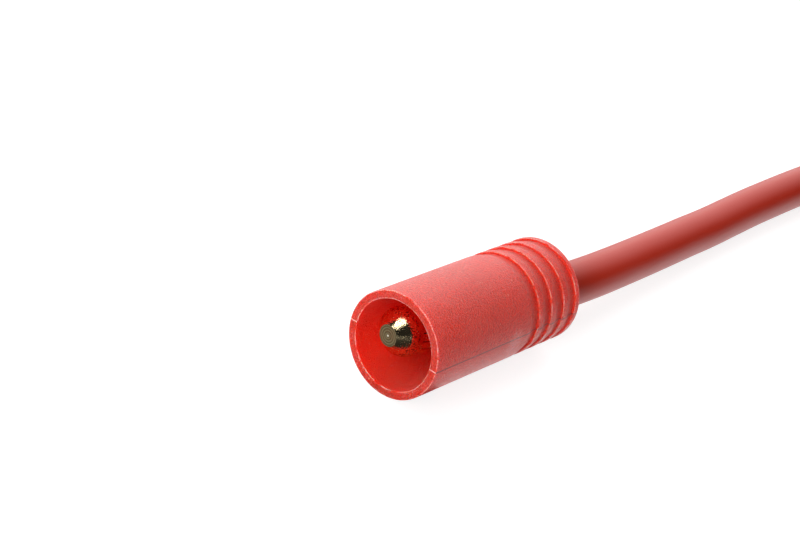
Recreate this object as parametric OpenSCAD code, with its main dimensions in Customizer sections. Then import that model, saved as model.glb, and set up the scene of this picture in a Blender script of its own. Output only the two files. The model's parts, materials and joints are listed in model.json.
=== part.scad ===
// Gold-plated battery lead connector: one round spring bullet standing in a
// moulded red housing, soldered to a silicone-jacketed pigtail.
// The housing lies on its side: its mouth looks along -Y, the wire leaves
// along +Y, and the underside of the housing rests on z = 0.

/* [Housing] */
// Outside diameter of the housing
housing_d = 10.15; // [9.6:0.05:11]
// Length of the housing from mouth to rear face
housing_len = 22.3; // [21.5:0.1:26]
// Wall thickness at the mouth
mouth_wall = 0.8; // [0.5:0.02:0.95]
// Depth of the open mouth
mouth_depth = 10.5; // [10.2:0.1:11]
// Rounding of the outer edge at the mouth
mouth_edge_r = 0.1; // [0.05:0.01:0.3]
// Rounding of the inner edge at the mouth
bore_edge_r = 0.1; // [0.05:0.01:0.25]
// Fillet between the wall and the floor of the mouth
floor_fillet_r = 0.6; // [0.2:0.1:1]
// Rounding of the rear edge
rear_edge_r = 0.18; // [0.05:0.01:0.3]

/* [Stepped grip] */
// Number of steps in the grip
step_count = 4; // [1:1:5]
// Distance from one step to the next
step_pitch = 2; // [1.6:0.01:2.1]
// Height of one step, which faces the mouth
step_h = 0.24; // [0.16:0.02:0.4]
// Length of the hollow that falls away to the foot of each step
hollow_len = 1.3; // [0.8:0.05:1.35]
// Width of the last land, between the last step and the rear face
last_land_w = 0.7; // [0.4:0.02:1.5]
// Rounding of the crest of each step
crest_r = 0.07; // [0.04:0.01:0.12]
// Diameter of the opening that the wire leaves through
rear_bore_d = 5.8; // [5.7:0.1:6.2]

/* [Mould marks] */
// Tilt of the mould's parting plane about the axis, in degrees
parting_tilt = 3; // [0:1:10]
// Height of the fine flash line along the parting plane
flash_rise = 0.04; // [0.02:0.01:0.1]
// Width of the flash line, in degrees round the axis
flash_angle = 1.4; // [0.8:0.1:3]
// Distance of the gate mark from the mouth
gate_y = 12.2; // [11:0.1:13]
// Diameter of the gate mark
gate_d = 0.7; // [0.4:0.1:1]
// Height of the gate mark
gate_rise = 0.08; // [0.04:0.01:0.15]

/* [Contact] */
// Lean of the contact in its soft housing, in degrees
contact_lean = 4; // [0:0.5:4]
// Distance of the contact's tip behind the mouth
tip_recess = 0.76; // [0.4:0.02:1.2]
// Diameter of the contact's nose over its widest part
nose_d = 4.7; // [4.5:0.02:4.8]
// Diameter of the flat face on the nose
nose_flat_d = 2.2; // [1.8:0.05:2.4]
// Rounding between the nose's cone and its widest part
nose_round_r = 1.4; // [0.6:0.05:1.5]
// Distance from the mouth to the back of the nose
nose_end = 2.75; // [2.7:0.05:3]
// Diameter of the lands that carry the spring cage
land_d = 3.7; // [3.6:0.05:3.8]
// Diameter of the slim core under the spring cage
core_d = 2.9; // [2.4:0.1:3.2]
// Diameter of the collar behind the spring cage
collar_d = 4.6; // [4.4:0.1:4.8]
// Length of the collar
collar_len = 1; // [0.6:0.1:1.4]
// Diameter of the body that passes through the floor of the mouth
body_d = 3.8; // [3.6:0.1:4]
// Diameter of the flange locked in the housing
flange_d = 5.4; // [5:0.1:5.8]
// Length of the flange
flange_len = 1; // [0.8:0.1:1.2]
// Distance from the mouth to the front of the flange
flange_y = 12; // [11.9:0.05:12.1]
// Diameter of the solder cup
cup_d = 4.6; // [4.4:0.1:4.8]
// Diameter of the cup's bore
cup_bore_d = 3.2; // [2.8:0.1:3.4]
// Distance from the cup's mouth back to the full bore's end
cup_depth = 4.2; // [3.6:0.1:4.4]
// Chamfers on the turned edges
turned_edge = 0.12; // [0.05:0.01:0.15]

/* [Spring cage] */
// Diameter of the cage over its widest part
cage_d = 4.86; // [4.8:0.02:4.9]
// Diameter of the cage's end rings
cage_ring_d = 4.2; // [4.1:0.02:4.3]
// Length of each end ring
cage_ring_len = 0.5; // [0.4:0.05:0.6]
// Distance from the mouth to the back of the cage
cage_end = 7.9; // [7.6:0.1:8.1]
// Length of the straight land over the middle of the cage
cage_land_len = 1.2; // [1:0.1:1.6]
// Thickness of the spring strips
strip_t = 0.2; // [0.12:0.01:0.22]
// Number of slots between the strips
slot_count = 16; // [10:1:18]
// Width of one slot
slot_w = 0.12; // [0.1:0.01:0.2]

/* [Wire] */
// Diameter of the silicone-jacketed wire
wire_d = 4.5; // [4:0.1:4.5]
// Diameter of the stranded conductor
strands_d = 2.4; // [2:0.1:2.6]
// Distance from the mouth to the front of the jacket
jacket_y = 18.8; // [18.7:0.1:19]
// Length of the bared and tinned end
tinned_len = 6; // [5:0.5:10]
// Diameter of the tinned end
tinned_d = 2.5; // [2.2:0.1:2.8]

/* [Hidden] */
$fn = 0;
$fa = 4;
$fs = 0.08;

housing_r = housing_d / 2;
bore_r = housing_r - mouth_wall;
wire_r = wire_d / 2;
rear_bore_r = rear_bore_d / 2;
axis_z = housing_r;
over = 1;

nose_r = nose_d / 2;
nose_flat_r = nose_flat_d / 2;
// The cone rises at 45 degrees, then an arc turns it into the widest part.
cone_top_y = tip_recess + nose_r - nose_flat_r;
nose_arc = nose_round_r * tan(22.5);
nose_arc_y = cone_top_y + nose_arc;
cone_end_r = nose_r - nose_arc * sin(45);
cone_end_y = cone_top_y - nose_arc * sin(45);
land_r = land_d / 2;
core_r = core_d / 2;
collar_r = collar_d / 2;
body_r = body_d / 2;
flange_r = flange_d / 2;
cup_r = cup_d / 2;
cup_bore_r = cup_bore_d / 2;
flange_end = flange_y + flange_len;
cup_gap = 0.4;
cup_end = jacket_y - cup_gap;
cup_bore_start = cup_end - cup_depth;
drill_len = cup_bore_r * 0.58;
pip_r = 0.12;
pip_depth = 0.1;

cage_r = cage_d / 2;
cage_ring_r = cage_ring_d / 2;
cage_sag = cage_r - cage_ring_r;
cage_start = nose_end;
cage_mid = (cage_start + cage_end) / 2;
bow_front = cage_start + cage_ring_len;
bow_rear = cage_end - cage_ring_len;
land_front = cage_mid - cage_land_len / 2;
land_rear = cage_mid + cage_land_len / 2;
bow_half = land_front - bow_front;
bow_r = (bow_half * bow_half + cage_sag * cage_sag) / (2 * cage_sag);
slot_margin = 0.1;
slot_len = bow_rear - bow_front - 2 * slot_margin;
ring_edge_r = 0.08;

strands_r = strands_d / 2;
strands_start = cup_bore_start + 0.2;
solder_dish = 0.25;
tinned_r = tinned_d / 2;
tinned_edge = 0.3;

last_step_y = housing_len - last_land_w;
first_step_y = last_step_y - (step_count - 1) * step_pitch;
hollow_r = (hollow_len * hollow_len + step_h * step_h) / (2 * step_h);
gate_sink = 0.4;

// The wire's way: sideways offset, distance behind the rear face, and how far
// it has sunk from the housing's axis (0) to lying on the surface (1).
wire_way = [
    [0, jacket_y - housing_len, 0], [0, -2.9, 0], [0, -2.1, 0.02], [0, -1.3, 0.065],
    [0, -0.6, 0.12], [0, 0, 0.17], [0, 1, 0.25], [0, 2, 0.32], [0, 3.5, 0.39],
    [0, 5.7, 0.46], [-0.05, 9.5, 0.55], [-0.2, 13.5, 0.64], [-0.42, 17.8, 0.73],
    [-0.62, 22.2, 0.8], [-0.85, 26.8, 0.87], [-1.08, 31.3, 0.93], [-1.25, 36, 0.98],
    [-1.5, 41, 1], [-1.7, 46, 1], [-1.8, 51, 1], [-1.85, 56, 1], [-1.83, 61, 1],
    [-1.7, 67, 1], [-1.3, 74, 1], [-0.6, 81, 1], [0.5, 87, 1], [2.2, 93, 1]
];
wire_sides = 12;

function way_point(i) = [
    wire_way[i][0],
    housing_len / 2 + wire_way[i][1],
    axis_z + (wire_r - axis_z) * wire_way[i][2]
];
way_last = len(wire_way) - 1;
function unit(v) = v / norm(v);
function way_dir(i) = unit(way_point(min(i + 1, way_last)) - way_point(max(i - 1, 0)));
function way_side(i) = unit(cross(way_dir(i), [0, 0, 1]));
function way_up(i) = cross(way_side(i), way_dir(i));
end_turn = atan2(way_dir(way_last)[0], way_dir(way_last)[1]);

// Lays a shape drawn along +Z from the mouth onto the housing's axis.
module along_housing() {
    translate([0, -housing_len / 2, axis_z]) rotate([-90, 0, 0]) children();
}

// Leans a shape with the contact, about the front of the wire's jacket.
module leaned() {
    translate([0, 0, jacket_y]) rotate([0, contact_lean, 0])
        translate([0, 0, -jacket_y]) children();
}

// The sliver outside a rounded corner whose metal lies below and inside it.
module corner_nip(r) {
    difference() {
        translate([-r, -r]) square([r + over, r + over]);
        translate([-r, -r]) circle(r);
    }
}

// The same sliver for a corner whose material lies above and inside it.
module corner_nip_up(r) {
    mirror([0, 1]) corner_nip(r);
}

// The hollow in front of one step as a cutter: an arc that falls gently away
// from the land before it and ends level at the foot of the step.
module hollow_cutter() {
    intersection() {
        translate([housing_r - step_h + hollow_r, 0]) circle(hollow_r);
        translate([housing_r - step_h, -hollow_len]) square([step_h + over, hollow_len]);
    }
    translate([housing_r, -hollow_len]) square([over, hollow_len]);
}

// The sliver outside the rounded crest of a step.
module crest_nip() {
    difference() {
        translate([-crest_r, 0]) square([crest_r + over, crest_r]);
        translate([-crest_r, crest_r]) circle(crest_r);
    }
}

// Half section of the outside of the housing.
module housing_outside() {
    difference() {
        square([housing_r, housing_len]);
        translate([housing_r, 0]) corner_nip_up(mouth_edge_r);
        translate([housing_r, housing_len]) corner_nip(rear_edge_r);
        for (i = [0 : step_count - 1]) translate([0, first_step_y + i * step_pitch]) {
            hollow_cutter();
            translate([housing_r, 0]) crest_nip();
        }
    }
}

// Half section of the open mouth, with its rounded edge and filleted floor.
module mouth_section() {
    difference() {
        translate([0, -over]) square([bore_r, mouth_depth + over]);
        translate([bore_r, mouth_depth]) difference() {
            translate([-floor_fillet_r, -floor_fillet_r]) square(floor_fillet_r + over);
            translate([-floor_fillet_r, -floor_fillet_r]) circle(floor_fillet_r);
        }
    }
    difference() {
        translate([bore_r - over, -over]) square([bore_edge_r + over, bore_edge_r + over]);
        translate([bore_r + bore_edge_r, bore_edge_r]) circle(bore_edge_r);
    }
}

// Room that the leaned contact fills inside the housing.
module contact_room() {
    leaned() {
        translate([0, 0, mouth_depth - 2 * over]) cylinder(r = body_r, h = flange_y + 2 * over - mouth_depth);
        translate([0, 0, flange_y]) cylinder(r = flange_r, h = flange_len);
        translate([0, 0, flange_y]) cylinder(r = cup_r, h = jacket_y + cup_gap / 2 - flange_y);
    }
}

module housing() {
    color([0.78, 0.13, 0.09]) along_housing() {
        difference() {
            union() {
                rotate_extrude() housing_outside();
                for (side = [0, 180]) rotate([0, 0, side - parting_tilt - flash_angle / 2])
                    rotate_extrude(angle = flash_angle)
                        translate([flash_rise, 0]) intersection() {
                            housing_outside();
                            translate([housing_r - over, mouth_edge_r])
                                square([2 * over, housing_len - mouth_edge_r - rear_edge_r]);
                        }
                rotate([0, 0, -parting_tilt]) translate([housing_r - gate_sink, 0, gate_y])
                    rotate([0, 90, 0]) cylinder(r = gate_d / 2, h = gate_sink + gate_rise);
            }
            rotate_extrude() mouth_section();
            contact_room();
            translate([0, 0, jacket_y]) cylinder(r = rear_bore_r, h = housing_len - jacket_y + over);
        }
    }
}

// Half section of the turned contact.
module contact_section() {
    // Nose: a flat face with a centre pip, a cone, and an arc into the side.
    polygon([
        [0, tip_recess + pip_depth], [pip_r, tip_recess], [nose_flat_r, tip_recess],
        [cone_end_r, cone_end_y], [nose_r, nose_arc_y], [nose_r, nose_end], [0, nose_end]
    ]);
    intersection() {
        translate([nose_r - nose_round_r, nose_arc_y]) circle(nose_round_r);
        polygon([
            [nose_r - nose_round_r, nose_arc_y], [cone_end_r, cone_end_y],
            [nose_r, cone_top_y], [nose_r, nose_arc_y]
        ]);
    }
    // Lands and slim core under the spring cage.
    translate([0, nose_end]) square([land_r, cage_ring_len]);
    translate([0, bow_front]) square([core_r, bow_rear - bow_front]);
    translate([0, bow_rear]) square([land_r, cage_ring_len]);
    // Collar, body, flange and solder cup.
    collar_end = cage_end + collar_len;
    polygon([
        [0, cage_end], [collar_r - turned_edge, cage_end], [collar_r, cage_end + turned_edge],
        [collar_r, collar_end - turned_edge], [collar_r - turned_edge, collar_end],
        [body_r, collar_end], [body_r, flange_y], [flange_r, flange_y],
        [flange_r, flange_end], [cup_r, flange_end], [cup_r, cup_end - turned_edge],
        [cup_r - turned_edge, cup_end], [cup_bore_r, cup_end],
        [cup_bore_r, cup_bore_start], [0, cup_bore_start - drill_len]
    ]);
}

module contact() {
    color([0.86, 0.68, 0.28]) along_housing() leaned() rotate_extrude() contact_section();
}

// Half section of the bowed strip: a band between two arcs of one centre.
module bow_band(centre_y) {
    difference() {
        translate([cage_r - bow_r, centre_y]) circle(bow_r);
        translate([cage_r - bow_r, centre_y]) circle(bow_r - strip_t);
    }
}

// Half section of the whole cage before it is slotted.
module cage_section() {
    intersection() {
        bow_band(land_front);
        translate([land_r, bow_front]) square([cage_r, land_front - bow_front]);
    }
    translate([cage_r - strip_t, land_front]) square([strip_t, cage_land_len]);
    intersection() {
        bow_band(land_rear);
        translate([land_r, land_rear]) square([cage_r, bow_rear - land_rear]);
    }
    difference() {
        translate([land_r, cage_start]) square([cage_ring_r - land_r, cage_ring_len]);
        translate([cage_ring_r, cage_start]) corner_nip_up(ring_edge_r);
    }
    translate([land_r, bow_rear]) square([cage_ring_r - land_r, cage_ring_len]);
}

module spring_cage() {
    color([0.9, 0.72, 0.3]) along_housing() leaned() difference() {
        rotate_extrude() cage_section();
        for (i = [0 : slot_count - 1]) rotate([0, 0, (i + 0.5) * 360 / slot_count])
            translate([core_r, -slot_w / 2, bow_front + slot_margin]) cube([cage_r, slot_w, slot_len]);
    }
}

module cup_solder() {
    color([0.72, 0.72, 0.7]) along_housing() leaned() rotate_extrude() polygon([
        [0, cup_bore_start - drill_len], [cup_bore_r, cup_bore_start],
        [cup_bore_r, cup_end - solder_dish], [strands_r, cup_end - solder_dish / 2],
        [strands_r, strands_start], [0, strands_start]
    ]);
}

// Bared strands from the solder cup back to the jacket.
module strands() {
    color([0.75, 0.45, 0.3]) along_housing() difference() {
        leaned() translate([0, 0, strands_start])
            cylinder(r = strands_r, h = jacket_y + over - strands_start);
        translate([-cup_d, -cup_d, jacket_y]) cube([2 * cup_d, 2 * cup_d, 2 * over]);
    }
}

// The jacketed wire as one tube swept along its way.
module wire() {
    ring = [for (k = [0 : wire_sides - 1]) 90 + k * 360 / wire_sides];
    rim_points = [for (i = [0 : way_last]) for (a = ring)
        way_point(i) + wire_r * (cos(a) * way_side(i) + sin(a) * way_up(i))];
    side_faces = [for (i = [0 : way_last - 1]) for (k = [0 : wire_sides - 1])
        let (n = (k + 1) % wire_sides, a = i * wire_sides, b = (i + 1) * wire_sides)
        each [[a + k, b + n, a + n], [a + k, b + k, b + n]]];
    front_face = [for (k = [0 : wire_sides - 1]) k];
    back_face = [for (k = [wire_sides - 1 : -1 : 0]) way_last * wire_sides + k];
    color([0.62, 0.12, 0.08]) polyhedron(rim_points, concat([front_face], side_faces, [back_face]));
}

module tinned_end() {
    color([0.78, 0.78, 0.76]) translate(way_point(way_last)) rotate([0, 0, -end_turn])
        rotate([-90, 0, 0]) rotate_extrude() polygon([
            [0, 0], [tinned_r, 0], [tinned_r, tinned_len - tinned_edge],
            [tinned_r - tinned_edge, tinned_len], [0, tinned_len]
        ]);
}

housing();
contact();
spring_cage();
cup_solder();
strands();
wire();
tinned_end();
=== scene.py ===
# %% [markdown]
# # A battery lead connector
# One short red lead ends in a round moulded housing, and a gold-plated spring bullet stands in
# its open mouth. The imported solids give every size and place. This file dresses them: it keeps
# the two small hidden solids and gives them a finish, and it makes the housing, the bullet, the
# spring cage, the lead and its bared end again as fine meshes in the same places.

# %% Load the solids
import json
import math
import bmesh
import bpy
from mathutils import Matrix, Quaternion, Vector

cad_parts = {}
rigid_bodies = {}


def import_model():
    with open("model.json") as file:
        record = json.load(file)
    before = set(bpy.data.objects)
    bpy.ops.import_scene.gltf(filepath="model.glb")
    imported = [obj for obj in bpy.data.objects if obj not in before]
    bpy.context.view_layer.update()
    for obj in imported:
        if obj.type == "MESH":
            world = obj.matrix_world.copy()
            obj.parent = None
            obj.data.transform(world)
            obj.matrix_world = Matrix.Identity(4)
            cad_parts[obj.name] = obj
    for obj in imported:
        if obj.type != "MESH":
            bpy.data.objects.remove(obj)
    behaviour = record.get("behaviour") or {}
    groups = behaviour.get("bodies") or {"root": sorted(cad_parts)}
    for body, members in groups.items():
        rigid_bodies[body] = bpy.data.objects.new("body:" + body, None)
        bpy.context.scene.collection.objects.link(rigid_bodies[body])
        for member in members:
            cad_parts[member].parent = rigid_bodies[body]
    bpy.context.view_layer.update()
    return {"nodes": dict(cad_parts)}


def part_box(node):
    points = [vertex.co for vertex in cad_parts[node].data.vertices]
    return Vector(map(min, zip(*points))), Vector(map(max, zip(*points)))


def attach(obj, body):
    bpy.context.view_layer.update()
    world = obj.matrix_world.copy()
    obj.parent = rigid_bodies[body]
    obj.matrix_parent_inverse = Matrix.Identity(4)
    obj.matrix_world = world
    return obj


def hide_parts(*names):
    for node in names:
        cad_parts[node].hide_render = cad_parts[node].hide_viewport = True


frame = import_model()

print("solids:", sorted(frame["nodes"]))

# %% [markdown]
# ## One line for everything round
# The housing's box gives the line that everything round is turned about. It runs along +Y, half
# the housing's height above the surface. `MM` lets the rest of the file be read in millimetres:
# a size is written in millimetres and multiplied once, where it meets Blender.

# %% The housing's line
MM = 0.001
low, high = (Vector(corner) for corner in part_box("housing"))
MOUTH_Y = low.y
REAR_Y = high.y
AXIS_Z = (low.z + high.z) / 2
HOUSING_R = (high.z - low.z) / 2
print("mouth at %.2f, rear at %.2f, line %.2f mm up" % (MOUTH_Y / MM, REAR_Y / MM, AXIS_Z / MM))

# %% [markdown]
# ## Camera
# The camera stands a hand's width away with a long lens, to the right of the mouth and above
# it, and it is rolled to the side so that the lead climbs across the frame. It could be placed
# by three angles, but a direction from the aimed point is easier to read. `to_track_quat` turns
# the lens towards that point, and the roll is a second turn about its own line of sight.

# %% Camera
AIM = Vector((-3.07, -9.19, 11.02)) * MM
TOWARDS_CAMERA = Vector((0.45367, -0.75223, 0.47785))
CAMERA_DISTANCE = 181.6 * MM
ROLL = math.radians(18.8)

camera_data = bpy.data.cameras.new("camera")
camera_data.sensor_width = 36
camera_data.lens = 92.25
camera_data.clip_start = 0.005
camera = bpy.data.objects.new("camera", camera_data)
camera.location = AIM + TOWARDS_CAMERA * CAMERA_DISTANCE
line_of_sight = (-TOWARDS_CAMERA).to_track_quat("-Z", "Y")
camera.rotation_mode = "QUATERNION"
camera.rotation_quaternion = line_of_sight @ Quaternion((0, 0, 1), ROLL)
bpy.context.scene.collection.objects.link(camera)
bpy.context.scene.camera = camera
bpy.context.scene.view_settings.view_transform = "Standard"
print("camera at", [round(v / MM, 1) for v in camera.location], "mm")

# %% [markdown]
# ## The lead
# The lead is silicone-jacketed wire, so it is soft: it sinks from the housing's line to the
# surface within a few centimetres and then lies almost straight. It could be a swept mesh, but a
# curve with a round bevel stays one smooth line that is easy to bend. It goes through the same
# points as its solid: each row is x, the distance behind the housing, and how far it has sunk,
# from 0 on the line to 1 on the surface.

# %% The lead's way
LEAD_R = 2.25 * MM
INSIDE_LEN = 3.5
LEAD_WAY = [
    (0, -INSIDE_LEN, 0), (0, -2.9, 0), (0, -2.1, 0.02), (0, -1.3, 0.065),
    (0, -0.6, 0.12), (0, 0, 0.17), (0, 1, 0.25), (0, 2, 0.32), (0, 3.5, 0.39),
    (0, 5.7, 0.46), (-0.05, 9.5, 0.55), (-0.2, 13.5, 0.64), (-0.42, 17.8, 0.73),
    (-0.62, 22.2, 0.8), (-0.85, 26.8, 0.87), (-1.08, 31.3, 0.93), (-1.25, 36, 0.98),
    (-1.5, 41, 1), (-1.7, 46, 1), (-1.8, 51, 1), (-1.85, 56, 1), (-1.83, 61, 1),
    (-1.7, 67, 1), (-1.3, 74, 1), (-0.6, 81, 1), (0.5, 87, 1), (2.2, 93, 1),
]
lead_points = [Vector((x * MM, REAR_Y + y * MM, AXIS_Z + (LEAD_R - AXIS_Z) * sunk))
               for x, y, sunk in LEAD_WAY]

# %% [markdown]
# A bevel depth of 1 is multiplied by each point's radius, so the radius of every point is the
# lead's own. Left at 1 m, the radius would also blow up the object's box. Automatic handles keep
# the bends smooth between the points. The lead stands for the solid called wire.

# %% The lead's curve
lead_data = bpy.data.curves.new("lead", "CURVE")
lead_data.dimensions = "3D"
lead_data.resolution_u = 8
lead_data.bevel_depth = 1
lead_data.bevel_resolution = 10
lead_data.use_fill_caps = True
spline = lead_data.splines.new("BEZIER")
spline.bezier_points.add(len(lead_points) - 1)
for knot, place in zip(spline.bezier_points, lead_points):
    knot.co = place
    knot.handle_left_type = "AUTO"
    knot.handle_right_type = "AUTO"
    knot.radius = LEAD_R
lead = bpy.data.objects.new("lead", lead_data)
bpy.context.scene.collection.objects.link(lead)
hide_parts("wire")
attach(lead, "root")
print("the lead's curve has", len(spline.bezier_points), "points")

# %% [markdown]
# ## Floor and light
# The part lies on a white table in a bright tent. A table lit until it is white would burn the
# pale plastic out, so the lamps stay low, and the table glows a little for the camera's own rays
# only. It keeps the weak shadow. To a mirror it shows as white only close beside the part, which
# lights the lowest edge of the housing, and as plain grey table further out.

# %% A white material
def new_material(name):
    """A new node material, its tree and its shader."""
    material = bpy.data.materials.new(name)
    material.use_nodes = True
    return material, material.node_tree, material.node_tree.nodes["Principled BSDF"]

white_table, tree, shader = new_material("white_table")
shader.inputs["Roughness"].default_value = 0.55
shader.inputs["Emission Color"].default_value = (1, 1, 1, 1)
print("a new material holds", [node.name for node in tree.nodes])

# %% The table's colour
TABLE_LIT, TABLE_SEEN = (0.8, 0.8, 0.8, 1), (0.27, 0.27, 0.27, 1)

def add_node(tree, kind, **values):
    """A new node of that kind, with some of its settings."""
    node = tree.nodes.new(kind)
    for key, value in values.items():
        setattr(node, key, value)
    return node

def mixed(tree, factor, a, b):
    """A colour mix; a and b are colours or outputs."""
    mix = add_node(tree, "ShaderNodeMix", data_type="RGBA")
    tree.links.new(factor, mix.inputs["Factor"])
    for socket, value in ((mix.inputs["A"], a), (mix.inputs["B"], b)):
        if isinstance(value, tuple):
            socket.default_value = value
        else:
            tree.links.new(value, socket)
    return mix.outputs["Result"]

ray = add_node(tree, "ShaderNodeLightPath")
table_colour = mixed(tree, ray.outputs["Is Camera Ray"], TABLE_LIT, TABLE_SEEN)
tree.links.new(table_colour, shader.inputs["Base Color"])
print("the table is", TABLE_LIT[0], "where it lights the part")

# %% The table's glow
GLOW_SEEN, GLOW_MIRRORED = 0.84, 1.0
GLOW_EDGE, GLOW_FULL = 9.5 * MM, 5 * MM

def math_node(tree, operation, *terms):
    """The result of a sum of numbers and outputs."""
    node = add_node(tree, "ShaderNodeMath", operation=operation)
    for socket, term in zip(node.inputs, terms):
        if isinstance(term, (int, float)):
            socket.default_value = term
        else:
            tree.links.new(term, socket)
    return node.outputs[0]

place = add_node(tree, "ShaderNodeTexCoord")
split = add_node(tree, "ShaderNodeSeparateXYZ")
tree.links.new(place.outputs["Object"], split.inputs["Vector"])
near = add_node(tree, "ShaderNodeMapRange", interpolation_type="SMOOTHSTEP")
near.inputs["From Min"].default_value = GLOW_EDGE
near.inputs["From Max"].default_value = GLOW_FULL
near.inputs["To Max"].default_value = GLOW_MIRRORED
tree.links.new(math_node(tree, "ABSOLUTE", split.outputs["X"]), near.inputs["Value"])
mirrored = math_node(tree, "MULTIPLY", ray.outputs["Is Glossy Ray"], near.outputs["Result"])
glow = math_node(tree, "MULTIPLY_ADD", ray.outputs["Is Camera Ray"], GLOW_SEEN, mirrored)
tree.links.new(glow, shader.inputs["Emission Strength"])
print("the table's material has", len(tree.nodes), "nodes")

# %% The table itself
floor_mesh = bpy.data.meshes.new("floor")
table_top = bmesh.new()
bmesh.ops.create_grid(table_top, x_segments=1, y_segments=1, size=1.5)
table_top.to_mesh(floor_mesh)
table_top.free()
floor_mesh.materials.append(white_table)
floor = bpy.data.objects.new("floor", floor_mesh)
bpy.context.scene.collection.objects.link(floor)
print("the table is", [round(v, 2) for v in floor.dimensions], "m")

# %% [markdown]
# Shiny metal has no look of its own, only what it mirrors. In a tent that is white all round,
# gold would be pale and flat. In a studio, black card is laid just outside the view. Here it lies
# in front of the mouth, and only mirrors see it, so the table stays white round it.

# %% Black card
CARD_CENTRE = Vector((0.03, MOUTH_Y - 0.055, 0.0002))
CARD_SIZE = Vector((0.3, 0.12, 1))
card_mesh = bpy.data.meshes.new("black_card")
sheet = bmesh.new()
bmesh.ops.create_grid(sheet, x_segments=1, y_segments=1, size=0.5)
bmesh.ops.scale(sheet, verts=sheet.verts, vec=CARD_SIZE)
bmesh.ops.translate(sheet, verts=sheet.verts, vec=CARD_CENTRE)
sheet.to_mesh(card_mesh)
sheet.free()
card = bpy.data.objects.new("black_card", card_mesh)
bpy.context.scene.collection.objects.link(card)
for kind in ("visible_camera", "visible_diffuse", "visible_shadow", "visible_transmission"):
    setattr(card, kind, False)
black, tree, shader = new_material("black_card")
shader.inputs["Base Color"].default_value = (0.02, 0.019, 0.018, 1)
shader.inputs["Roughness"].default_value = 0.9
card_mesh.materials.append(black)
print("the card is", [round(v * 1000) for v in card.dimensions], "mm")

# %% [markdown]
# The world is the tent. One side of it is bright, behind the part and to its left, and the
# brightness fades round to almost black in front. The dot product of a direction with the bright
# side's own direction says how far round a ray goes. The camera, and anything seen through glass,
# gets plain white.

# %% World
BRIGHT_SIDE = (-0.6, 0.6, 0.53)
world = bpy.data.worlds.new("tent")
bpy.context.scene.world = world
world.use_nodes = True
tree = world.node_tree
background = tree.nodes["Background"]
direction = add_node(tree, "ShaderNodeTexCoord")
slope = add_node(tree, "ShaderNodeVectorMath", operation="DOT_PRODUCT")
slope.inputs[1].default_value = BRIGHT_SIDE
tree.links.new(direction.outputs["Generated"], slope.inputs[0])
brightness = add_node(tree, "ShaderNodeMapRange", interpolation_type="SMOOTHSTEP")
brightness.inputs["From Min"].default_value = 0.42
brightness.inputs["From Max"].default_value = 1
brightness.inputs["To Min"].default_value = 0.02
brightness.inputs["To Max"].default_value = 2.3
tree.links.new(slope.outputs["Value"], brightness.inputs["Value"])
ray = add_node(tree, "ShaderNodeLightPath")
through = ray.outputs["Is Transmission Ray"]
seen = math_node(tree, "MAXIMUM", ray.outputs["Is Camera Ray"], through)
tent_colour = mixed(tree, seen, brightness.outputs["Result"], (1, 1, 1, 1))
tree.links.new(tent_colour, background.inputs["Color"])
background.inputs["Strength"].default_value = 1
print("the tent is bright towards", BRIGHT_SIDE)

# %% [markdown]
# Two soft lamps stand in front. The small one is also the glint on the bullet's dome. The large
# one fills the mouth with light, and it is hidden from mirrors, because a second glint would be
# wrong there.

# %% Lamps
LAMP_AIM = Vector((0, 0, 0.004))

def soft_lamp(name, place, size, power):
    """A rectangular lamp that looks at the part; metres and watts."""
    data = bpy.data.lights.new(name, "AREA")
    data.shape = "RECTANGLE"
    data.size, data.size_y = size
    data.energy = power
    lamp = bpy.data.objects.new(name, data)
    lamp.location = place
    lamp.rotation_euler = (LAMP_AIM - Vector(place)).to_track_quat("-Z", "Y").to_euler()
    bpy.context.scene.collection.objects.link(lamp)
    print(name, "gives", power, "W")
    return lamp

soft_lamp("front_softbox", (-0.075, -0.25, 0.32), (0.22, 0.16), 0.42)
fill = soft_lamp("front_fill", (0.06, -0.38, 0.17), (0.24, 0.2), 1.9)
fill.visible_glossy = False

# %% [markdown]
# ## Red plastic
# The housing is a soft plastic moulding. Spark erosion of the mould gave it a satin skin with a
# fine grain, so the colour is mottled in grains of a tenth of a millimetre and a bump of the same
# size roughens it. Light goes a little way in, which subsurface scattering gives. A picture of
# plastic could be laid round it, but noise on Object coordinates has no seam and no end.

# %% Grain and specks
def noise_value(tree, place, size, detail):
    """Noise with grains about size mm across."""
    noise = add_node(tree, "ShaderNodeTexNoise")
    noise.inputs["Scale"].default_value = 1 / (size * MM)
    noise.inputs["Detail"].default_value = detail
    tree.links.new(place, noise.inputs["Vector"])
    return noise.outputs[0]

def bumped(tree, height, depth, strength=1.0, under=None):
    """The normal of a relief depth mm high, over another one if under is given."""
    bump = add_node(tree, "ShaderNodeBump")
    bump.inputs["Strength"].default_value = strength
    bump.inputs["Distance"].default_value = depth * MM
    tree.links.new(height, bump.inputs["Height"])
    if under is not None:
        tree.links.new(under, bump.inputs["Normal"])
    return bump.outputs["Normal"]

def grain_bump(tree, shader, size, strength, depth, detail=3):
    """Gives the shader a fine noise bump; returns the Object coordinates."""
    place = add_node(tree, "ShaderNodeTexCoord").outputs["Object"]
    grain = bumped(tree, noise_value(tree, place, size, detail), depth, strength)
    tree.links.new(grain, shader.inputs["Normal"])
    return place

def specks(tree, place, size, fade_in, full):
    """1 in scattered specks about size mm across, 0 between them."""
    cut = add_node(tree, "ShaderNodeMapRange", clamp=True)
    cut.inputs["From Min"].default_value = fade_in
    cut.inputs["From Max"].default_value = full
    tree.links.new(noise_value(tree, place, size, 2), cut.inputs["Value"])
    return cut.outputs["Result"]

print("grain of 0.11 mm is a noise scale of", round(1 / (0.11 * MM)))

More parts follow.
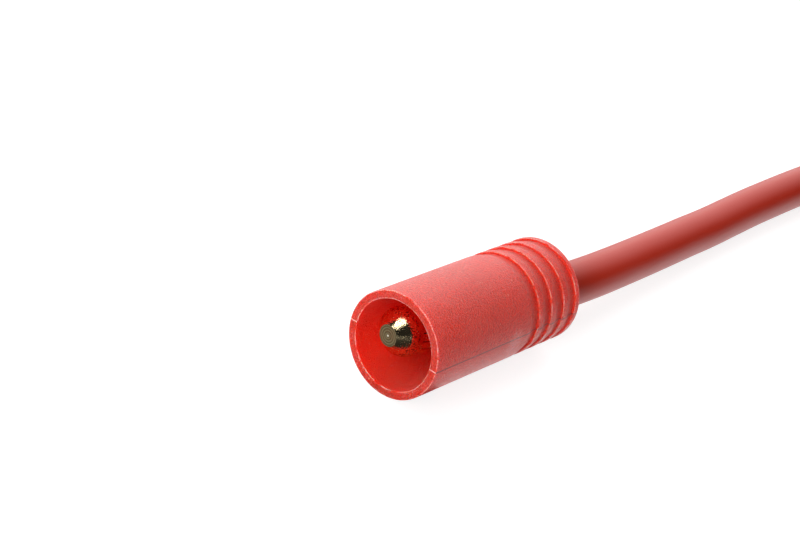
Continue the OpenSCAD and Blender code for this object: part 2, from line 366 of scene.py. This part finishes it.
# %% [markdown]
# A flash line runs along both sides, where the mould's halves met. Its small ridge is not built;
# a thin darker stripe stands for it as painted shade, in the plane that cuts the housing
# lengthwise, tilted by 3 degrees. It shows on the outside, goes pale where it crosses the rim, and
# is missing in the bore, which a core pin moulded. Where the plastic ran in, at the gate, a spot
# on the side is a rough scar, and pale specks on it are a painted sparkle.

# %% Mould marks
PARTING_TILT = math.radians(3)
LINE_HALF_WIDTH = 0.055 * MM
INNER_REACH = 4.3 * MM
GATE_POINT = Vector((HOUSING_R, MOUTH_Y + 12.2 * MM, AXIS_Z))

def parting_mask(tree, x, z):
    """1 on the flash line, on the outside and the rim only."""
    lean_x = math_node(tree, "MULTIPLY", x, math.sin(PARTING_TILT))
    upward = math_node(tree, "SUBTRACT", z, AXIS_Z)
    lean_z = math_node(tree, "MULTIPLY", upward, math.cos(PARTING_TILT))
    off_plane = math_node(tree, "ABSOLUTE", math_node(tree, "SUBTRACT", lean_z, lean_x))
    on_line = math_node(tree, "LESS_THAN", off_plane, LINE_HALF_WIDTH)
    outside = math_node(tree, "GREATER_THAN", math_node(tree, "ABSOLUTE", x), INNER_REACH)
    return math_node(tree, "MULTIPLY", on_line, outside)

def gate_sparkle_mask(tree, place):
    """Pale specks round the gate's rough scar: a painted sparkle."""
    away = add_node(tree, "ShaderNodeVectorMath", operation="DISTANCE")
    away.inputs[1].default_value = GATE_POINT
    tree.links.new(place, away.inputs[0])
    close = add_node(tree, "ShaderNodeMapRange", clamp=True)
    close.inputs["From Min"].default_value = 1.5 * MM
    close.inputs["From Max"].default_value = 0.4 * MM
    tree.links.new(away.outputs["Value"], close.inputs["Value"])
    sparkle_specks = specks(tree, place, 0.12, 0.48, 0.6)
    scar_sparkle = math_node(tree, "MULTIPLY", close.outputs["Result"], sparkle_specks)
    return math_node(tree, "MULTIPLY", scar_sparkle, 0.8)

print("the gate is at", [round(v / MM, 2) for v in GATE_POINT], "mm")

# %% [markdown]
# One function makes the plastic in four states: the plain skin, the edges with a painted highlight
# in fine pale patches, the bore, lighter as painted glow and mirroring less, and the flat rim,
# darker as painted shade and duller.

# %% Red plastic
# The bore's reds are lighter than the skin's, as painted glow; the rim's are darker, as painted
# shade. The line's dark red is painted shade; the pale red serves real dust and painted
# highlights.
RED, DARK_RED = (0.92, 0.045, 0.019, 1), (0.5, 0.014, 0.005, 1)
BORE_GLOW_RED, DARK_BORE_GLOW_RED = (0.93, 0.036, 0.014, 1), (0.86, 0.03, 0.011, 1)
RIM_SHADED_RED, DARK_RIM_SHADED_RED = (0.66, 0.04, 0.022, 1), (0.36, 0.018, 0.009, 1)
LINE_SHADE_RED, PALE_RED = (0.18, 0.006, 0.004, 1), (0.85, 0.4, 0.36, 1)

def make_red_plastic(name, light, dark, painted_highlight, roughness, sheen=0.13):
    """The moulding's plastic; the number after the two colours is how pale a painted highlight
    makes it, from 0 to 1.
    """
    material, tree, shader = new_material(name)
    shader.inputs["Roughness"].default_value = roughness
    shader.inputs["Sheen Weight"].default_value = sheen
    shader.inputs["Sheen Roughness"].default_value = 0.3
    shader.inputs["Subsurface Weight"].default_value = 0.75
    shader.inputs["Subsurface Radius"].default_value = (1.0, 0.08, 0.04)
    shader.inputs["Subsurface Scale"].default_value = 3 * MM
    place = grain_bump(tree, shader, 0.11, 1, 0.12, 0)
    split = add_node(tree, "ShaderNodeSeparateXYZ")
    tree.links.new(place, split.inputs["Vector"])
    colour = mixed(tree, specks(tree, place, 0.11, 0.35, 0.65), dark, light)
    on_rim = math_node(tree, "LESS_THAN", split.outputs["Y"], MOUTH_Y + 0.02 * MM)
    # The flash line's dark stripe is painted shade; on the rim it is painted pale.
    line_colour = mixed(tree, on_rim, LINE_SHADE_RED, PALE_RED)
    line = parting_mask(tree, split.outputs["X"], split.outputs["Z"])
    colour = mixed(tree, line, colour, line_colour)
    # Pale specks round the gate are a painted sparkle.
    colour = mixed(tree, gate_sparkle_mask(tree, place), colour, PALE_RED)
    dust = math_node(tree, "MULTIPLY", specks(tree, place, 0.22, 0.7, 0.76), 0.6)
    colour = mixed(tree, dust, colour, PALE_RED)
    # Fine pale patches on the edges are a painted highlight.
    if painted_highlight:
        fine = specks(tree, place, 0.1, 0.36, 0.56)
        patches = specks(tree, place, 0.9, 0.36, 0.52)
        highlight_patches = math_node(tree, "MULTIPLY", math_node(tree, "MULTIPLY", fine, patches), painted_highlight)
        colour = mixed(tree, highlight_patches, colour, PALE_RED)
    tree.links.new(colour, shader.inputs["Base Color"])
    print(name, "has", len(tree.nodes), "nodes")
    return material

red_plastic = make_red_plastic("red_plastic", RED, DARK_RED, 0.0, 0.34)
# The edges' copy is smoother and paled in patches: a painted highlight.
edge_highlight_plastic = make_red_plastic("red_plastic_worn_edge", RED, DARK_RED, 0.8, 0.2)
# The bore's copy is lighter and more even than the skin: a painted glow of the light inside the
# mouth.
bore_glow_plastic = make_red_plastic("red_plastic_bore", BORE_GLOW_RED, DARK_BORE_GLOW_RED, 0.0, 0.5, 0.06)
# The flat rim's copy is darker than the skin: painted shade.
rim_shaded_plastic = make_red_plastic("red_plastic_rim", RIM_SHADED_RED, DARK_RIM_SHADED_RED, 0.07, 0.4)

# %% [markdown]
# ## Silicone
# The lead's jacket is silicone rubber: deeper red than the plastic, nearly without mirror gloss,
# and with a trace of dust. A low specular level keeps it rubbery, a little sheen lifts its edges,
# and a soft bump breaks up the light.

# %% Silicone
red_silicone, tree, shader = new_material("red_silicone")
shader.inputs["Base Color"].default_value = (0.5, 0.026, 0.009, 1)
shader.inputs["Specular IOR Level"].default_value = 0.15
shader.inputs["Roughness"].default_value = 0.34
shader.inputs["Sheen Weight"].default_value = 0.03
shader.inputs["Sheen Roughness"].default_value = 0.3
grain_bump(tree, shader, 0.25, 0.2, 0.03)
lead_data.materials.append(red_silicone)
print("the lead's finish:", lead_data.materials[0].name)

# %% [markdown]
# ## Gold
# Gold plating over turned brass is a mirror with very fine rings left by the tool. The rings are
# a wave of the distance from the contact's own line. That line leans, so a Mapping node turns the
# coordinates back and centres them on the point that the contact leans about.

# %% The contact's own coordinates
LEAN = math.radians(4)
JACKET_FRONT = 18.8
LEAN_POINT = Vector((0, MOUTH_Y + JACKET_FRONT * MM, AXIS_Z))

def leaned_place(tree):
    """Object coordinates turned back by the contact's lean."""
    place = add_node(tree, "ShaderNodeTexCoord")
    turned_back = add_node(tree, "ShaderNodeMapping", vector_type="TEXTURE")
    turned_back.inputs["Location"].default_value = LEAN_POINT
    turned_back.inputs["Rotation"].default_value = (0, 0, -LEAN)
    tree.links.new(place.outputs["Object"], turned_back.inputs["Vector"])
    return turned_back.outputs[0]

print("the contact leans about", [round(v / MM, 2) for v in LEAN_POINT], "mm")

# %% [markdown]
# Handling leaves marks: small pits, tarnish in brown specks, more of it round the edge of the
# nose, and a few rough spots that glint. The pits have no finer detail, because relief smaller
# than the eye can see would only blur the mirror. The turned tip is duller and has deeper rings,
# and the pip that the tool left in its middle is painted nearly white, as a painted highlight.

# %% Gold
TARNISH = (0.1, 0.075, 0.035, 1)
NOSE_EDGE = 2.05

def nose_marks(tree, place):
    """Tarnish specks on a band round the edge of the nose."""
    split = add_node(tree, "ShaderNodeSeparateXYZ")
    tree.links.new(place, split.inputs["Vector"])
    behind = math_node(tree, "ADD", split.outputs["Y"], (JACKET_FRONT - NOSE_EDGE) * MM)
    band = math_node(tree, "LESS_THAN", math_node(tree, "ABSOLUTE", behind), 0.45 * MM)
    return math_node(tree, "MULTIPLY", specks(tree, place, 0.17, 0.55, 0.62), band)

def make_gold(name, colour, roughness, ring_step, ring_depth, ring_shade=0.0, metallic=1.0):
    """Plated gold with turning rings ring_step mm apart, fine pits and dull specks."""
    material, tree, shader = new_material(name)
    shader.inputs["Metallic"].default_value = metallic
    place = leaned_place(tree)
    wave = add_node(tree, "ShaderNodeTexWave", wave_type="RINGS", rings_direction="Y")
    wave.inputs["Scale"].default_value = 0.314 / (ring_step * MM)
    wave.inputs["Distortion"].default_value = 0.6
    tree.links.new(place, wave.inputs["Vector"])
    rings = bumped(tree, wave.outputs[0], ring_depth)
    pits = bumped(tree, noise_value(tree, place, 0.1, 0), 0.016, under=rings)
    tree.links.new(pits, shader.inputs["Normal"])
    if ring_shade:
        dark_rings = math_node(tree, "MULTIPLY", wave.outputs[0], ring_shade)
        colour = mixed(tree, dark_rings, colour, TARNISH)
    spots = math_node(tree, "MULTIPLY", specks(tree, place, 0.1, 0.58, 0.68), 0.6)
    dulled = math_node(tree, "MAXIMUM", nose_marks(tree, place), spots)
    tree.links.new(mixed(tree, dulled, colour, TARNISH), shader.inputs["Base Color"])
    glints = specks(tree, place, 0.13, 0.66, 0.7)
    rough = math_node(tree, "MULTIPLY_ADD", glints, 0.32, roughness)
    tree.links.new(rough, shader.inputs["Roughness"])
    print(name, "has", len(tree.nodes), "nodes")
    return material

gold = make_gold("gold_plate", (0.86, 0.7, 0.4, 1), 0.1, 0.16, 0.002)
turned_gold = make_gold("gold_turned_face", (0.22, 0.18, 0.095, 1), 0.34, 0.25, 0.03, 1.0, 0.4)
# The pip's pale, partly diffuse gold is a painted highlight.
pip_highlight_gold = make_gold("gold_pip", (0.8, 0.75, 0.6, 1), 0.4, 0.16, 0.002, metallic=0.4)

# %% [markdown]
# ## The moulded housing
# The housing is one moulding, round about its line. It could be cut from cylinders, but every
# ring edge needs its own rounding. So its half section is drawn as a few corner points and spun a
# full turn, and the rings where the section has corners are then bevelled, each with the rounding
# that the mould gives it.

# %% Turning
TURN_STEPS = 160

def turned(points, steps=TURN_STEPS, closed=True):
    """Spins a section of (radius, distance behind the mouth) points in mm about the line."""
    bm = bmesh.new()
    line = [bm.verts.new((r * MM, MOUTH_Y + y * MM, AXIS_Z)) for r, y in points]
    edges = [bm.edges.new(pair) for pair in zip(line, line[1:])]
    if closed:
        edges.append(bm.edges.new((line[-1], line[0])))
    bmesh.ops.spin(bm, geom=line + edges, cent=(0, 0, AXIS_Z), axis=(0, 1, 0), angle=math.tau,
                   steps=steps, use_merge=True, use_duplicate=False)
    bmesh.ops.remove_doubles(bm, verts=bm.verts, dist=1e-7)
    bmesh.ops.recalc_face_normals(bm, faces=bm.faces)
    print("turned", len(points), "points in", steps, "steps")
    return bm

# %% [markdown]
# The grip is four steps that face the mouth. Before each step the skin falls away in a shallow
# hollow, an arc that starts level with the land and is deepest at the foot of the step. Six
# points draw each arc.

# %% The housing's section
BORE_R = 4.275
MOUTH_DEPTH = 10.5
BODY_HOLE_R = 2.0
REAR_HOLE_R = 2.9
STEPS = 4
STEP_H = 0.24
STEP_PITCH = 2.0
HOLLOW_LEN = 1.3
HOLLOW_POINTS = 6
LAST_LAND = 0.7
HOUSING_LEN = (REAR_Y - MOUTH_Y) / MM
OUTER_R = HOUSING_R / MM
HOLLOW_R = (HOLLOW_LEN ** 2 + STEP_H ** 2) / (2 * STEP_H)

def hollow_depth(before):
    """How deep the hollow is, at a distance before its step."""
    return STEP_H - HOLLOW_R + math.sqrt(HOLLOW_R ** 2 - before ** 2)

section = [(BORE_R, 0), (OUTER_R, 0)]
crests, land_ends, feet = [], [], []
for i in range(STEPS):
    step_y = HOUSING_LEN - LAST_LAND - (STEPS - 1 - i) * STEP_PITCH
    for part in range(HOLLOW_POINTS):
        before = HOLLOW_LEN * (1 - part / HOLLOW_POINTS)
        section.append((OUTER_R - hollow_depth(before), step_y - before))
    section += [(OUTER_R - STEP_H, step_y), (OUTER_R, step_y)]
    land_ends.append((OUTER_R, step_y - HOLLOW_LEN))
    feet.append((OUTER_R - STEP_H, step_y))
    crests.append((OUTER_R, step_y))
section += [(OUTER_R, HOUSING_LEN), (REAR_HOLE_R, HOUSING_LEN), (REAR_HOLE_R, JACKET_FRONT)]
section += [(BODY_HOLE_R, JACKET_FRONT), (BODY_HOLE_R, MOUTH_DEPTH), (BORE_R, MOUTH_DEPTH)]
print("the section has", len(section), "corners")

# %% [markdown]
# The edges that stand out, the rims of the mouth and the crests of the steps, take the smoother
# plastic with a painted highlight together with their rounding. A bevel modifier would round every
# edge alike, so the bevel operator is given one ring of edges at a time.

# %% Spin and round the housing
# The second slot holds the edges' painted highlight, the third the bore's painted glow, the fourth
# the rim's painted shade.
SKIN, EDGE_HIGHLIGHT, BORE, RIM = range(4)
ON_RING = 4e-6

def distance_out(point):
    """How far a point is from the housing's line."""
    return math.hypot(point.x, point.z - AXIS_Z)

def round_rings(bm, rings, width, segments=3, slot=-1):
    """Rounds the edges of some (radius, distance) circles; slot is the rounding's material."""
    def on_ring(vert, r, y):
        off = abs(distance_out(vert.co) - r * MM), abs(vert.co.y - MOUTH_Y - y * MM)
        return max(off) < ON_RING
    edges = [e for r, y in rings for e in bm.edges if all(on_ring(v, r, y) for v in e.verts)]
    bmesh.ops.bevel(bm, geom=edges, offset=width * MM, offset_type="OFFSET", segments=segments,
                    profile=0.5, affect="EDGES", material=slot, clamp_overlap=True)
    print("rounded %d edges by %.2f mm" % (len(edges), width))

housing_mesh = turned(section)
round_rings(housing_mesh, [(OUTER_R, 0)], 0.08, 3, EDGE_HIGHLIGHT)
round_rings(housing_mesh, [(BORE_R, 0)], 0.1, 3, EDGE_HIGHLIGHT)
round_rings(housing_mesh, [(BORE_R, MOUTH_DEPTH)], 0.6, 5)
round_rings(housing_mesh, crests, 0.06, 3, EDGE_HIGHLIGHT)
round_rings(housing_mesh, land_ends, 0.1)
round_rings(housing_mesh, feet, 0.06)
round_rings(housing_mesh, [(OUTER_R, HOUSING_LEN)], 0.18)

# %% [markdown]
# The bore and the flat of the rim are told by where the middles of their faces lie, and get
# their own states of the plastic. The mesh then becomes a piece: smooth shading, with normals
# weighted by the size of the faces, keeps the broad ones even beside the thin roundings.

# %% The housing
for face in housing_mesh.faces:
    centre = face.calc_center_median()
    in_bore = distance_out(centre) < (BORE_R + 0.01) * MM
    if in_bore and centre.y < MOUTH_Y + (MOUTH_DEPTH + 0.01) * MM:
        face.material_index = BORE
    elif face.material_index == SKIN and abs(centre.y - MOUTH_Y) < 2e-6:
        face.material_index = RIM
print(sum(f.material_index == BORE for f in housing_mesh.faces), "faces in the mouth")
print(sum(f.material_index == RIM for f in housing_mesh.faces), "faces on the rim")

def as_piece(bm, name, node, slot, *materials):
    """Makes the mesh a smooth-shaded object that stands for a solid and rides with it."""
    for face in bm.faces:
        face.smooth = True
    mesh = bpy.data.meshes.new(name)
    bm.to_mesh(mesh)
    bm.free()
    for material in materials:
        mesh.materials.append(material)
    piece = bpy.data.objects.new(name, mesh)
    bpy.context.scene.collection.objects.link(piece)
    even = piece.modifiers.new("even_shading", "WEIGHTED_NORMAL")
    even.keep_sharp = True
    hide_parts(node)
    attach(piece, "root")
    print(name, "has", len(mesh.polygons), "faces")
    return piece

as_piece(housing_mesh, "housing_skin", "housing", "red_moulding",
         red_plastic, edge_highlight_plastic, bore_glow_plastic, rim_shaded_plastic)

# %% [markdown]
# ## The bullet
# The contact is turned from brass and gold plated: a flat-tipped dome, a slim core for the spring
# cage, a collar, a flange that locks in the plastic, and a solder cup. On a lathe it is one
# profile, so it is spun from one here. The dome is a cone whose corner is bevelled with many
# segments. It leans a little in the soft housing, so the mesh is leaned after it is spun.

# %% The turned contact
TIP_Y = 0.76
NOSE_FLAT_R = 1.04
NOSE_R = 2.35
NOSE_END = 2.75
CAGE_END = 7.9
LAND_R = 1.85
CORE_R = 1.45
COLLAR_R = 2.3
PIP_R = 0.1
PIP_DEPTH = 0.08
DOME_R = 1.4
CONE_TOP_Y = TIP_Y + NOSE_R - NOSE_FLAT_R

def lean(bm):
    """Leans a mesh with the contact."""
    turn = Matrix.Rotation(-LEAN, 3, "Z")
    bmesh.ops.rotate(bm, verts=bm.verts, cent=LEAN_POINT, matrix=turn)

contact_mesh = turned([
    (0, TIP_Y + PIP_DEPTH), (PIP_R, TIP_Y), (NOSE_FLAT_R, TIP_Y),
    (NOSE_R, CONE_TOP_Y), (NOSE_R, NOSE_END),
    (LAND_R, NOSE_END), (LAND_R, 3.25), (CORE_R, 3.25), (CORE_R, 7.4), (LAND_R, 7.4),
    (LAND_R, CAGE_END), (COLLAR_R, CAGE_END), (COLLAR_R, 8.9),
    (1.9, 8.9), (1.9, 12.0), (2.7, 12.0), (2.7, 13.0), (COLLAR_R, 13.0), (COLLAR_R, 18.4),
    (1.6, 18.4), (1.6, 14.2), (0, 13.27),
], steps=128, closed=False)
round_rings(contact_mesh, [(NOSE_R, CONE_TOP_Y)], DOME_R * math.tan(math.radians(22.5)), 10)
round_rings(contact_mesh, [(NOSE_FLAT_R, TIP_Y)], 0.03, 2)
round_rings(contact_mesh, [(NOSE_R, NOSE_END), (COLLAR_R, CAGE_END), (COLLAR_R, 8.9)], 0.05, 3)
print("the tip is %.2f mm behind the mouth, the dome %.1f mm wide" % (TIP_Y, 2 * NOSE_R))

# %% The tip's rings and pip
TURNED_FACE, PIP = 1, 2
tip_faces = 0
for face in contact_mesh.faces:
    centre = face.calc_center_median()
    out = distance_out(centre)
    if centre.y < MOUTH_Y + (TIP_Y + 0.08) * MM and out < (NOSE_FLAT_R - 0.02) * MM:
        face.material_index = PIP if out < PIP_R * MM else TURNED_FACE
        tip_faces += 1
print(tip_faces, "faces in the turned tip")
lean(contact_mesh)
as_piece(contact_mesh, "bullet", "contact", "gold_plate", gold, turned_gold, pip_highlight_gold)

# %% [markdown]
# ## The spring cage
# The cage is thin sheet, rolled round the core: two end rings, and strips between them that bow
# outwards and press against a socket. The bow is an arc, drawn once and mirrored. One surface is
# spun from it, single columns of its faces are deleted for the slots, and the sheet then gets its
# thickness.

# %% The cage's section
CAGE_R = 2.43
RING_R = 2.1
RING_LEN = 0.5
CAGE_LAND = 1.2
STRIP_T = 0.2
BOW_POINTS = 8
bow_front = NOSE_END + RING_LEN
bow_rear = CAGE_END - RING_LEN
middle = (NOSE_END + CAGE_END) / 2
bow_half = middle - CAGE_LAND / 2 - bow_front
bow_r = (bow_half ** 2 + (CAGE_R - RING_R) ** 2) / (2 * (CAGE_R - RING_R))
bow_steps = [bow_half * (1 - k / BOW_POINTS) for k in range(BOW_POINTS + 1)]
front_bow = [(CAGE_R - bow_r + math.sqrt(bow_r ** 2 - d ** 2), bow_front + bow_half - d)
             for d in bow_steps]
rear_bow = [(r, 2 * middle - y) for r, y in reversed(front_bow)]
sheet_line = [(RING_R, NOSE_END), (RING_R, bow_front - 0.01)] + front_bow + rear_bow
sheet_line += [(RING_R, bow_rear + 0.01), (RING_R, CAGE_END)]
print("the strips bow out on an arc of %.1f mm radius" % bow_r)

# %% The spring cage
SLOTS = 16
STEPS_PER_SLOT = 8
SLOT_INSET = 0.05
cage_mesh = turned(sheet_line, steps=SLOTS * STEPS_PER_SLOT, closed=False)
column = math.tau / (SLOTS * STEPS_PER_SLOT)
cut = []
for face in cage_mesh.faces:
    centre = face.calc_center_median()
    turn = math.atan2(centre.z - AXIS_Z, centre.x) % (column * STEPS_PER_SLOT)
    along = (centre.y - MOUTH_Y) / MM
    if turn < column and bow_front + SLOT_INSET < along < bow_rear - SLOT_INSET:
        cut.append(face)
print("cut", len(cut), "faces for", SLOTS, "slots")
bmesh.ops.delete(cage_mesh, geom=cut, context="FACES")
bmesh.ops.solidify(cage_mesh, geom=cage_mesh.faces, thickness=STRIP_T * MM)
bmesh.ops.recalc_face_normals(cage_mesh, faces=cage_mesh.faces)
lean(cage_mesh)
as_piece(cage_mesh, "cage_strips", "spring_cage", "gold_plate", gold)

# %% [markdown]
# ## Solder and conductor
# The solder in the cup and the bare strands behind it are hidden in the housing. Their solids
# have the right shape, so they stay, and only take a metal with a soft bump.

# %% Solder and copper
def make_metal(name, colour, roughness, size, strength, depth):
    """A bare metal with a soft bump of grains size mm across."""
    material, tree, shader = new_material(name)
    shader.inputs["Base Color"].default_value = colour
    shader.inputs["Metallic"].default_value = 1
    shader.inputs["Roughness"].default_value = roughness
    grain_bump(tree, shader, size, strength, depth)
    return material

solder = make_metal("solder", (0.62, 0.62, 0.6, 1), 0.3, 0.6, 0.4, 0.05)
copper = make_metal("copper_strands", (0.8, 0.42, 0.25, 1), 0.3, 0.2, 0.5, 0.05)
for node, metal in (("cup_solder", solder), ("strands", copper)):
    for holder in bpy.data.objects:
        if holder.type == "MESH" and holder.name.startswith(node):
            holder.material_slots[0].material = metal
            print(holder.name, "is finished in", metal.name)

# %% [markdown]
# ## The bared end
# The far end is bared, its strands are twisted together and dipped in solder. A rod with a bump
# would do from afar. Here each of 19 strands is one small circle swept by a screw-like spin, in
# rings of 1, 6 and 12 as in a real conductor, and the bundle is then turned along the lead's last
# stretch.

# %% The tinned end
TINNED_LEN = 6.0
STRAND_R = 0.245
STRAND_RINGS = ((0.0, 1), (0.5, 6), (1.0, 12))
TWIST = math.radians(150)
TWIST_STEPS = 24

def add_strand(bm, ring_r, turn):
    """Adds a strand, ring_r mm from the bundle's own line, along +Z."""
    strand = bmesh.new()
    start = Vector((math.cos(turn), math.sin(turn), 0)) * ring_r * MM
    bmesh.ops.create_circle(strand, segments=10, radius=STRAND_R * MM, cap_ends=True,
                            matrix=Matrix.Translation(start))
    ring = strand.verts[:] + strand.edges[:] + strand.faces[:]
    bmesh.ops.spin(strand, geom=ring, cent=(0, 0, 0), axis=(0, 0, 1),
                   dvec=(0, 0, TINNED_LEN / TWIST_STEPS * MM), angle=TWIST, steps=TWIST_STEPS,
                   use_duplicate=False)
    bmesh.ops.recalc_face_normals(strand, faces=strand.faces)
    strand_mesh = bpy.data.meshes.new("strand")
    strand.to_mesh(strand_mesh)
    strand.free()
    bm.from_mesh(strand_mesh)
    bpy.data.meshes.remove(strand_mesh)

end_mesh = bmesh.new()
for ring_r, count in STRAND_RINGS:
    for k in range(count):
        add_strand(end_mesh, ring_r, math.tau * k / count)
print("twisted", sum(count for _, count in STRAND_RINGS), "strands")
end_way = (lead_points[-1] - lead_points[-2]).normalized()
to_end = Matrix.Translation(lead_points[-1]) @ end_way.to_track_quat("Z", "Y").to_matrix().to_4x4()
bmesh.ops.transform(end_mesh, matrix=to_end, verts=end_mesh.verts)
tin = make_metal("tinned_strands", (0.7, 0.69, 0.66, 1), 0.28, 0.5, 0.5, 0.06)
tinned_end = as_piece(end_mesh, "tinned_strands", "tinned_end", "tinned", tin)

# %% [markdown]
# ## Finish
# The view layer is brought up to date at the end.

# %% Finish
bpy.context.view_layer.update()
